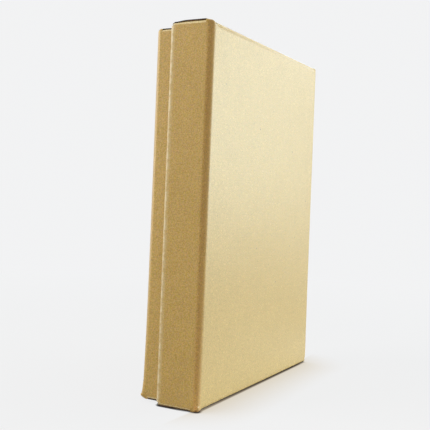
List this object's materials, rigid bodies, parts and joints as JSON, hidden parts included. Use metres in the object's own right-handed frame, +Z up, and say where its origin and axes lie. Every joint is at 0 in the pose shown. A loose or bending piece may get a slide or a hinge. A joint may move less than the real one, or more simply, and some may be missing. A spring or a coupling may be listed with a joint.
{
  "type": "presentation box",
  "caption": "Shallow kraft board presentation box with rolled walls and tucked corners; its lid telescopes over a tray and lifts off.",
  "frame": {"origin": "middle of the closed box's underside, as it stands on a short side of the lid", "axes": "+Z up along the box's height, +Y from the lid's panel to the tray's panel, +X to the right when facing the lid's panel"},
  "size_m": [0.151, 0.0356, 0.2],
  "materials": {
    "kraft_board": "matte"
  },
  "bodies": {
    "tray": {"tray_panel": "kraft_board", "tray_left_wall": "kraft_board", "tray_right_wall": "kraft_board", "tray_top_wall": "kraft_board", "tray_bottom_wall": "kraft_board", "tray_left_lining": "kraft_board", "tray_right_lining": "kraft_board", "tray_top_lining": "kraft_board", "tray_bottom_lining": "kraft_board", "tray_top_left_flap": "kraft_board", "tray_top_right_flap": "kraft_board", "tray_bottom_left_flap": "kraft_board", "tray_bottom_right_flap": "kraft_board"},
    "lid": {"lid_panel": "kraft_board", "lid_left_wall": "kraft_board", "lid_right_wall": "kraft_board", "lid_top_wall": "kraft_board", "lid_bottom_wall": "kraft_board", "lid_left_lining": "kraft_board", "lid_right_lining": "kraft_board", "lid_top_lining": "kraft_board", "lid_bottom_lining": "kraft_board", "lid_top_left_flap": "kraft_board", "lid_top_right_flap": "kraft_board", "lid_bottom_left_flap": "kraft_board", "lid_bottom_right_flap": "kraft_board"}
  },
  "joints": [
    {"name": "lid_lift", "type": "slide", "parent": "tray", "child": "lid", "axis": [0, -1, 0], "range_m": [0, 0.06]}
  ]
}
